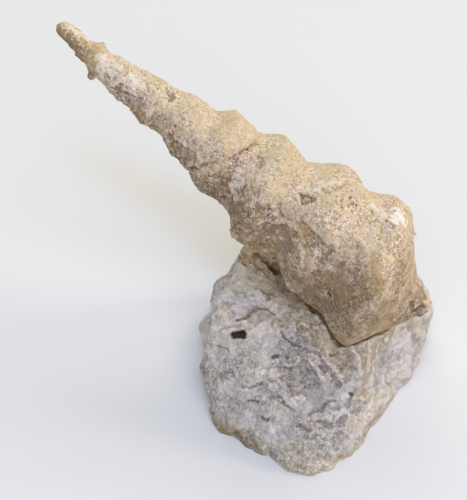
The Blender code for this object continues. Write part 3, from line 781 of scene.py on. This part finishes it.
def stoneForm(directions, marked):
    # a point of the stone's broken surface in each direction, and whether it lies in the shell's bed or
    # on the floor
    total = np.zeros(len(directions))
    for compass, lean, distance in brokenFaces:
        total += (np.maximum(directions @ faceNormal(compass, lean), 0.0) / distance) ** stone["sharpness"]
    reach = total ** (-1.0 / stone["sharpness"])
    points = stone["heart"] + directions * reach[:, None]
    if marked:
        extra = sum(height * noiseAt(points, size, seed) for height, size, seed in stone["lumps"])
        for start, end, height, radius in stoneMarks:
            extra = extra + height * np.exp(-(distanceToRun(points, start, end) / radius) ** 2)
        reach = reach + extra
    down = np.maximum(-directions[:, 2], 1e-6)
    floorReach = np.where(down > 1e-6, stone["heart"][2] / down, 1e3)
    onFloor = floorReach < reach
    reach = np.minimum(reach, floorReach)
    inBed = np.zeros(len(directions), dtype=bool)
    nearest, nearestAt = np.full(len(directions), 1e3), np.zeros(len(directions))
    for t in np.arange(*stone["ray"]):
        gap = gapToShell(stone["heart"] + directions * t)
        inside = ~inBed & (t < reach)
        closer = inside & (gap < nearest)
        nearest, nearestAt = np.where(closer, gap, nearest), np.where(closer, t, nearestAt)
        entering = inside & (gap < -stone["embed"])
        reach = np.where(entering, t, reach)
        inBed |= entering
    # beyond the shell the stone leans away from it, so that no wall is left standing without points
    leaning = nearestAt + stone["lean"] * (nearest + stone["embed"])
    reach = np.where(inBed | (nearest > stone["leanReach"]), reach, np.minimum(reach, leaning))
    return stone["heart"] + directions * reach[:, None], inBed, onFloor


def directionsOf(bm):
    directions = np.array([v.co for v in bm.verts])
    return directions / np.linalg.norm(directions, axis=1)[:, None]


def layOutStone():
    # a ball of directions, cut finer where the stone that they point at is seen
    bm = bmesh.new()
    bmesh.ops.create_icosphere(bm, subdivisions=stone["ballCuts"], radius=1.0)
    for vert in bm.verts:
        vert.co = vert.co.normalized()
    for cut in range(stone["cuts"]):
        points, inBed, onFloor = stoneForm(directionsOf(bm), False)
        onFront = (points - stone["heart"]) @ stone["frontWay"] > stone["frontFrom"]
        limit = np.where(onFront, stone["seenEdge"], stone["backEdge"])
        limit = np.where(inBed | onFloor, stone["hiddenEdge"], limit)
        bm.verts.index_update()
        ends = np.array([(e.verts[0].index, e.verts[1].index) for e in bm.edges])
        length = np.linalg.norm(points[ends[:, 0]] - points[ends[:, 1]], axis=1)
        tooLong = length > np.minimum(limit[ends[:, 0]], limit[ends[:, 1]]) * stone["edgeSlack"]
        if not tooLong.any():
            break
        chosen = [e for e, yes in zip(bm.edges, tooLong) if yes]
        bmesh.ops.subdivide_edges(bm, edges=chosen, cuts=1, use_grid_fill=True)
        bmesh.ops.triangulate(bm, faces=[f for f in bm.faces if len(f.verts) > 3])
    bm.verts.index_update()
    directions = directionsOf(bm)
    faces = [tuple(v.index for v in f.verts) for f in bm.faces]
    bm.free()
    print("stone surface laid out,", len(faces), "faces")
    return directions, faces


def buildStone(material):
    directions, faces = layOutStone()
    points, inBed, onFloor = stoneForm(directions, True)
    normals = normalsOf(points, faces)
    gap = gapToShell(points)
    free = np.where(inBed | onFloor, 0.0, ease(points[:, 2] / 0.5))
    size = {name: row[0] for name, row in stone["relief"].items()}
    warp = roughWarp(points, stone["warp"])
    wide = roughWarp(points, stone["wideWarp"])
    # 1 where the break is rough, 0 where it is smooth
    broken = ease((noiseAt(points, stone["roughPatch"], 31.0, 2) + 0.3) / 0.5)
    for place, reach in roughPlaces:
        broken = np.maximum(broken, ease(1.5 - np.linalg.norm(points - np.array(place), axis=1) / reach))
    broken *= ease((stone["roughLeftOf"] - points[:, 0]) / 7.0)
    forms = {
        "lump": noiseAt(points, size["lump"], 90.0, 3),
        "ledge": terraces(noiseAt(points + 0.8 * wide, size["ledge"], 14.0, 4), 6.0),
        "flake": terraces(noiseAt(points + 0.5 * warp, size["flake"], 27.0, 3), 4.0, 5.0),
        "scale": terraces(noiseAt(points + 0.3 * warp, size["scale"], 18.0, 2), 3.0, 5.0),
        "grain": noiseAt(points, size["grain"], 33.0, 2),
        "curl": ridgesAt(points + 0.45 * warp, size["curl"], 52.0, 2) - 0.6,
    }
    near = np.maximum(gap + 0.15 * forms["lump"], 0.0)
    (bankHeight, bankReach), (grooveDepth, grooveReach) = stone["bank"], stone["groove"]
    fillet = bankHeight * np.exp(-(near / bankReach) ** 2)
    fillet -= grooveDepth * np.exp(-(np.maximum(near - grooveReach, 0.0) / grooveReach) ** 2)
    height = fillet * ease((points[:, 2] - 5.0) / 4.0) - stone["sink"]
    for name, (_, smooth, more) in stone["relief"].items():
        height += (smooth + more * broken) * forms[name]
    rise, colour = addDetails(points, normals, warp + 0.5 * roughWarp(points, 0.5), stoneDetails)
    relief = (height + rise) * free
    points = points + normals * relief[:, None]
    hole = np.zeros(len(points))
    way = stone["holeWay"] / np.linalg.norm(stone["holeWay"])
    for place, radius in stoneHoles:
        offset = points + 0.08 * warp - np.array(place)
        away = np.linalg.norm(offset - (offset @ way)[:, None] * way, axis=1)
        inHole = ease((radius - away) / stone["holeEdge"] + 0.5)
        hole = np.maximum(hole, inHole * (np.linalg.norm(offset, axis=1) < stone["holeReach"]))
    points = points + np.outer(hole * stone["holeDepth"], way)
    points[:, 2] = np.maximum(points[:, 2], 0.0)

    # tan round the contact with the shell and along the foot, the foot's tan partly painted shade; and cream
    # on the high left, partly the stone's own colour and partly painted light
    aroundContact = ease(1.5 - near / 1.6)
    # the tan along the foot is partly painted shade
    rim = ease((1.6 - points[:, 2]) / 1.4) * ease(0.6 + noiseAt(points, 2.0, 140.0, 2))
    leftHigh = ease((8.0 - points[:, 0]) / 8.0) * ease((points[:, 2] - 8.0) / 4.0)
    colour["tan"] = np.maximum(colour["tan"], np.maximum(0.75 * aroundContact, 0.65 * rim))
    notTan = np.clip(1.0 - 2.0 * colour["tan"], 0.0, 1.0)
    colour["cream"] = np.maximum(colour["cream"], 0.7 * leftHigh * notTan)
    # hollows are darkened with dirt and painted shade, and rises lightened with wear and painted highlight
    sunk = (hollows(relief, faces, 10) + 0.4 * hollows(relief, faces, 80)) / stone["pitDepth"]
    attributes = {
        # the high left is made lighter: painted light as well as cream colour
        "tone": 0.5 + 0.4 * noiseAt(points, 5.0, 120.0, 2) + 0.02 * (points[:, 2] - 6.0) + 0.45 * leftHigh,
        "hole": ease(1.6 * hole - 0.6),
        "pitDirtAndShade": ease(sunk),
        "crestWearAndHighlight": ease(-sunk),
        "grooveStainAndShade": 0.9 * ease((0.75 - near) / 0.4),   # stain and painted shade, only in the groove round the shell
        "broken": broken * (1.0 - 0.5 * leftHigh),
        **colour,
    }
    return meshFrom("stoneSkin", points, faces, material, attributes)


# Each finish has its patterns: size in mm, detail, roughness and distortion. Those under 0.4 mm are drawn
# coarser than the real grain, which is too fine to show. Its tones run from dark to light. Its layers lie
# over them in turn: where, how strong and what colour.
shellFinish = {
    "name": "weatheredCalciteShell",
    "roughness": 0.8,
    "specular": 0.3,
    "patterns": {
        "cloud": (1.333, 5.0, 0.75, 0.0),
        "blush": (2.632, 4.0, 0.6, 0.0),
        "crumb": (0.5882, 3.5, 0.65, 0.5),
        "prick": (0.3333, 1.0, 0.5, 0.0),
        "stain": (1.0, 4.0, 0.7, 0.6),
        "calcite": (0.3125, 2.0, 0.6, 1.0),
        "grainAndPaintedGlint": (0.2564, 2.0, 0.6, 0.0),
    },
    "wander": 1.3,   # how far the cloud pattern moves the tone
    "tones": ((0.0, "#8b7554"), (0.28, "#b29d7c"), (0.55, "#d1be9d"), (0.9, "#c7b68d")),
    "blush": (0.64, 0.45, "#d3beae"),   # where its pattern is full, how strong and what colour
    "layers": (
        ("lilac", 0.85, "#a8917d"),
        ("pale", 0.8, "#f5ede3"),
        # the next two layers: wear and painted highlight on the rises, then dirt and painted shade in the
        # hollows
        ("crestWearAndHighlight", 0.38, "#f0e2ca"),
        ("pitDirtAndShade", 0.42, "#765f3f"),
        ("olive", 0.85, "#b3985a"),
        ("brown", 0.9, "#5e4930"),
    ),
    # how many edges the crumb pattern is broken into, and the colours from one edge to the next: painted
    # shade along one edge and painted highlight along the next
    "chipEdges": 5.0,
    "paintedStepShading": ((0.0, "#7d6f62"), (0.12, "#6b5c4f"), (0.24, "#f0ebe4"), (0.42, "#c2beb7"), (0.9, "#aea79f")),
    "prickTones": ((0.2, "#77644e"), (0.28, "#d8cfc2"), (0.33, "#ffffff")),
    "prickStrength": 0.7,
    "specks": (   # where each pattern starts and is full, how strong and what colour
        ("stain", 0.54, 0.64, 0.4, "#9c7f58"),
        ("calcite", 0.5, 0.6, 0.65, "#efe3d2"),
        # painted glints: tiny painted highlights
        ("grainAndPaintedGlint", 0.57, 0.68, 0.7, "#fbf4ea"),
    ),
    # how strongly one thing brings out another: slope and offset
    "fineByRough": (0.9, 0.5),
    "chipsByCloud": (2.2, -0.3),
    "lightByTone": (0.8, 0.45),
}
stoneFinish = {
    "name": "brokenLimestone",
    "roughness": 0.9,
    "specular": 0.25,
    "patterns": {
        "cloud": (2.0, 5.0, 0.7, 0.0),
        "blush": (3.03, 4.0, 0.65, 0.0),
        "scale": (1.053, 4.0, 0.6, 1.2),
        "grit": (0.3125, 3.0, 0.7, 0.0),
    },
    "wander": 1.2,
    "tones": ((0.1, "#b8b4b0"), (0.45, "#dad6d1"), (0.7, "#efeae4"), (0.95, "#f5ecde")),
    "blush": (0.62, 0.5, "#eadcc2"),
    "layers": (
        ("grey", 0.8, "#85807f"),
        ("tan", 0.85, "#c2a972"),
        ("cream", 0.9, "#f3e8d0"),
        ("pale", 0.85, "#f5f1ec"),
        # the next two layers: wear and painted highlight on the rises, then dirt and painted shade in the
        # hollows
        ("crestWearAndHighlight", 0.6, "#f7f3ec"),
        ("pitDirtAndShade", 0.3, "#766955"),
        # stain and painted shade in the groove round the shell
        ("grooveStainAndShade", 0.9, "#8f6d3a"),
        ("brown", 0.9, "#56432c"),
    ),
    "chipEdges": 6.0,
    # painted shade under the edge of each scale
    "paintedStepShading": ((0.0, "#b5aca2"), (0.1, "#8e8479"), (0.2, "#ffffff"), (0.4, "#ece9e6"), (0.9, "#e0dcd8")),
    "gritTones": ((0.36, "#6e6863"), (0.46, "#b2b0ae"), (0.56, "#c8c7c6"), (0.66, "#efedea")),
    # painted shade inside the holes, on top of their real depth
    "holePaintedShade": "#5d443b",
}


def lay(tree, base, amount, strength, colour):
    # lays a colour over the base where an amount says, at most by strength
    part = addNode(tree, "Math", {0: amount, 1: strength}, operation="MULTIPLY", use_clamp=True)
    return addNode(tree, "MixRGB", {"Fac": part, "Color1": base, "Color2": toLinear(colour)})


def rising(start, end):
    # stops of a ramp from none to all
    return (start, "#000000"), (end, "#ffffff")


def startFinish(finish):
    # a material, its patterns, its tone at each place, and its ground colour with the layers over it
    mat = bpy.data.materials.new(finish["name"])
    mat.use_nodes = True
    tree = mat.node_tree
    shader = tree.nodes["Principled BSDF"]
    shader.inputs["Roughness"].default_value = finish["roughness"]
    shader.inputs["Specular IOR Level"].default_value = finish["specular"]
    place = addNode(tree, "TexCoord", out="Object")
    pattern = {}
    for name, (size, detail, roughness, distortion) in finish["patterns"].items():
        inputs = {"Vector": place, "Scale": 1.0 / (size * mm), "Detail": detail, "Roughness": roughness,
                  "Distortion": distortion}
        pattern[name] = addNode(tree, "TexNoise", inputs)
    inputs = {0: pattern["cloud"], 1: finish["wander"], 2: -0.5 * finish["wander"]}
    wander = addNode(tree, "Math", inputs, operation="MULTIPLY_ADD")
    told = addNode(tree, "Attribute", out="Fac", attribute_name="tone")
    tone = addNode(tree, "Math", {0: told, 1: wander}, operation="ADD")
    base = addNode(tree, "ValToRGB", {"Fac": tone}, stops=finish["tones"])
    full, strength, colour = finish["blush"]
    blush = addNode(tree, "ValToRGB", {"Fac": pattern["blush"]}, stops=rising(0.5, full))
    base = lay(tree, base, blush, strength, colour)
    for name, strength, colour in finish["layers"]:
        told = addNode(tree, "Attribute", out="Fac", attribute_name=name)
        base = lay(tree, base, told, strength, colour)
    return mat, tree, pattern, tone, base


def breakUp(tree, pattern, finish):
    # breaks a pattern into flakes, and colours them with painted shade along one edge and painted highlight
    # along the next
    across = addNode(tree, "Math", {0: pattern, 1: finish["chipEdges"]}, operation="MULTIPLY")
    across = addNode(tree, "Math", {0: across}, operation="FRACT")
    return across, addNode(tree, "ValToRGB", {"Fac": across}, stops=finish["paintedStepShading"])


def endFinish(tree, base, bump):
    shader = tree.nodes["Principled BSDF"]
    tree.links.new(base, shader.inputs["Base Color"])
    tree.links.new(bump, shader.inputs["Normal"])


def shellMaterial():
    # calcite shell, weathered: matt and chalky, cream with yellow tan and brown grey clouds, and dirt with
    # painted shade in its pits
    mat, tree, pattern, tone, base = startFinish(shellFinish)
    # crumbs with painted shade along one edge and painted highlight along the next; with the glints and the
    # grain they are strong where the shell is rough and faint where it is worn smooth
    paintedStepShading = breakUp(tree, pattern["crumb"], shellFinish)[1]
    told = addNode(tree, "Attribute", out="Fac", attribute_name="rough")
    outOf = {"fineByRough": told, "chipsByCloud": pattern["cloud"], "lightByTone": tone}
    brought = {}
    for name, source in outOf.items():
        inputs = {0: source, 1: shellFinish[name][0], 2: shellFinish[name][1]}
        clamp = name != "fineByRough"
        brought[name] = addNode(tree, "Math", inputs, operation="MULTIPLY_ADD", use_clamp=clamp)
    rough = brought["fineByRough"]
    inputs = {0: brought["chipsByCloud"], 1: rough}
    amount = addNode(tree, "Math", inputs, operation="MULTIPLY", use_clamp=True)
    inputs = {"Fac": amount, "Color1": base, "Color2": paintedStepShading}
    base = addNode(tree, "MixRGB", inputs, blend_type="OVERLAY")
    # pin pricks, most of them where the shell is porous
    told = addNode(tree, "Attribute", out="Fac", attribute_name="porous")
    inputs = {0: told, 1: -0.1, 2: pattern["prick"]}
    prick = addNode(tree, "Math", inputs, operation="MULTIPLY_ADD")
    spots = addNode(tree, "ValToRGB", {"Fac": prick}, stops=shellFinish["prickTones"])
    inputs = {"Fac": shellFinish["prickStrength"], "Color1": base, "Color2": spots}
    base = addNode(tree, "MixRGB", inputs, blend_type="MULTIPLY")
    # brown stains everywhere, and light calcite and glints, the glints being painted highlights, both fewer
    # where the tone is dark
    fewer = addNode(tree, "Math", {0: brought["lightByTone"], 1: rough}, operation="MULTIPLY")
    for name, start, full, strength, colour in shellFinish["specks"]:
        spots = addNode(tree, "ValToRGB", {"Fac": pattern[name]}, stops=rising(start, full))
        if name != "stain":
            spots = addNode(tree, "Math", {0: spots, 1: fewer}, operation="MULTIPLY")
        base = lay(tree, base, spots, strength, colour)
    bump = addNode(tree, "Bump", {"Strength": rough, "Distance": 0.4 * mm, "Height": pattern["crumb"]})
    for height, strength in ((prick, 0.6), (pattern["grainAndPaintedGlint"], rough)):
        inputs = {"Strength": strength, "Distance": 0.1 * mm, "Height": height, "Normal": bump}
        bump = addNode(tree, "Bump", inputs)
    endFinish(tree, base, bump)
    return mat


def stoneMaterial():
    # limestone, broken and weathered: flaky, light grey with cream and tan where the shell meets it
    mat, tree, pattern, _, base = startFinish(stoneFinish)
    # scales that overlap, with painted shade under one edge and lighter along the next, and grit, most where
    # it is broken
    across, paintedStepShading = breakUp(tree, pattern["scale"], stoneFinish)
    grit = addNode(tree, "ValToRGB", {"Fac": pattern["grit"]}, stops=stoneFinish["gritTones"])
    broken = addNode(tree, "Attribute", out="Fac", attribute_name="broken")
    for colour, blend, more, least in ((paintedStepShading, "MULTIPLY", 0.55, 0.1), (grit, "OVERLAY", 0.5, 0.2)):
        inputs = {0: broken, 1: more, 2: least}
        amount = addNode(tree, "Math", inputs, operation="MULTIPLY_ADD")
        inputs = {"Fac": amount, "Color1": base, "Color2": colour}
        base = addNode(tree, "MixRGB", inputs, blend_type=blend)
    # painted shade inside the holes, on top of their real depth
    hole = addNode(tree, "Attribute", out="Fac", attribute_name="hole")
    base = lay(tree, base, hole, 1.0, stoneFinish["holePaintedShade"])
    bump = addNode(tree, "Bump", {"Strength": 0.8, "Distance": 0.2 * mm, "Height": across})
    inputs = {"Strength": 0.8, "Distance": 0.25 * mm, "Height": pattern["grit"], "Normal": bump}
    bump = addNode(tree, "Bump", inputs)
    endFinish(tree, base, bump)
    return mat


shellSkin = buildShell(shellMaterial())
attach(shellSkin, "root")
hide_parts("shell")
print("shell built")

stoneSkin = buildStone(stoneMaterial())
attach(stoneSkin, "root")
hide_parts("matrix")
print("stone built")

# floor, light and camera
studio = {
    "floorHalf": 0.8,              # m
    "floorColour": "#dfe1df",
    "worldColour": "#f4f4f4",
    "worldStrength": 0.27,
    "lampAim": (0.0, 0.0, 0.015),  # m
    "cameraPlace": (-1.965, -211.52, 231.93),
    "lookAt": (-1.965, 0.61, 19.8),
    "halfHeight": 31.25 / 300.0,   # of the view, for each mm of distance
    "sensor": 24.0,
}
# name, compass bearing and height in degrees, distance and size in metres, power, colour
lamps = (
    ("lowRightLamp", 0.0, 20.0, 1.1, 0.3, 4.55, "#fff0e2"),
    ("frontLamp", -90.0, 64.0, 0.5, 0.08, 0.58, "#80aef8"),
    ("softWindowFront", -80.0, 55.0, 0.8, 0.8, 3.72, "#fdf4f3"),
    ("sideWindowBehind", 48.0, 42.0, 0.8, 0.25, 1.0, "#fffaf2"),
    ("softWindowBehind", 95.0, 50.0, 0.8, 0.7, 2.25, "#fffaea"),
)


def buildFloor():
    # paper, matt: no shine at all
    mat = bpy.data.materials.new("mattPaper")
    mat.use_nodes = True
    shader = mat.node_tree.nodes["Principled BSDF"]
    shader.inputs["Base Color"].default_value = toLinear(studio["floorColour"])
    shader.inputs["Roughness"].default_value = 0.95
    shader.inputs["Specular IOR Level"].default_value = 0.1
    half = studio["floorHalf"]
    mesh = bpy.data.meshes.new("floor")
    mesh.from_pydata([(-half, -half, 0.0), (half, -half, 0.0), (half, half, 0.0), (-half, half, 0.0)],
                     [], [(0, 1, 2, 3)])
    mesh.materials.append(mat)
    floor = bpy.data.objects.new("floor", mesh)
    bpy.context.scene.collection.objects.link(floor)
    return floor


def addLamp(name, compass, height, distance, size, power, colour):
    place = distance * Vector(faceNormal(compass, height))
    lamp = bpy.data.lights.new(name, "AREA")
    lamp.shape = "DISK"
    lamp.size = size
    lamp.energy = power
    lamp.color = toLinear(colour)[:3]
    obj = bpy.data.objects.new(name, lamp)
    obj.location = place
    obj.rotation_euler = (Vector(studio["lampAim"]) - place).to_track_quat("-Z", "Y").to_euler()
    bpy.context.scene.collection.objects.link(obj)


buildFloor()
for lamp in lamps:
    addLamp(*lamp)
world = bpy.data.worlds.new("studio")
world.use_nodes = True
background = world.node_tree.nodes["Background"]
background.inputs["Color"].default_value = toLinear(studio["worldColour"])
background.inputs["Strength"].default_value = studio["worldStrength"]
bpy.context.scene.world = world
bpy.context.scene.view_settings.view_transform = "Standard"

camera = bpy.data.objects.new("camera", bpy.data.cameras.new("camera"))
camera.location = Vector(studio["cameraPlace"]) * mm
aim = Vector(studio["lookAt"]) * mm - camera.location
camera.rotation_euler = aim.to_track_quat("-Z", "Y").to_euler()
camera.data.sensor_fit = "VERTICAL"
camera.data.sensor_height = studio["sensor"]
camera.data.lens = 0.5 * studio["sensor"] / studio["halfHeight"]
camera.data.clip_start = 0.01
camera.data.clip_end = 5.0
bpy.context.scene.collection.objects.link(camera)
bpy.context.scene.camera = camera
print("studio ready")
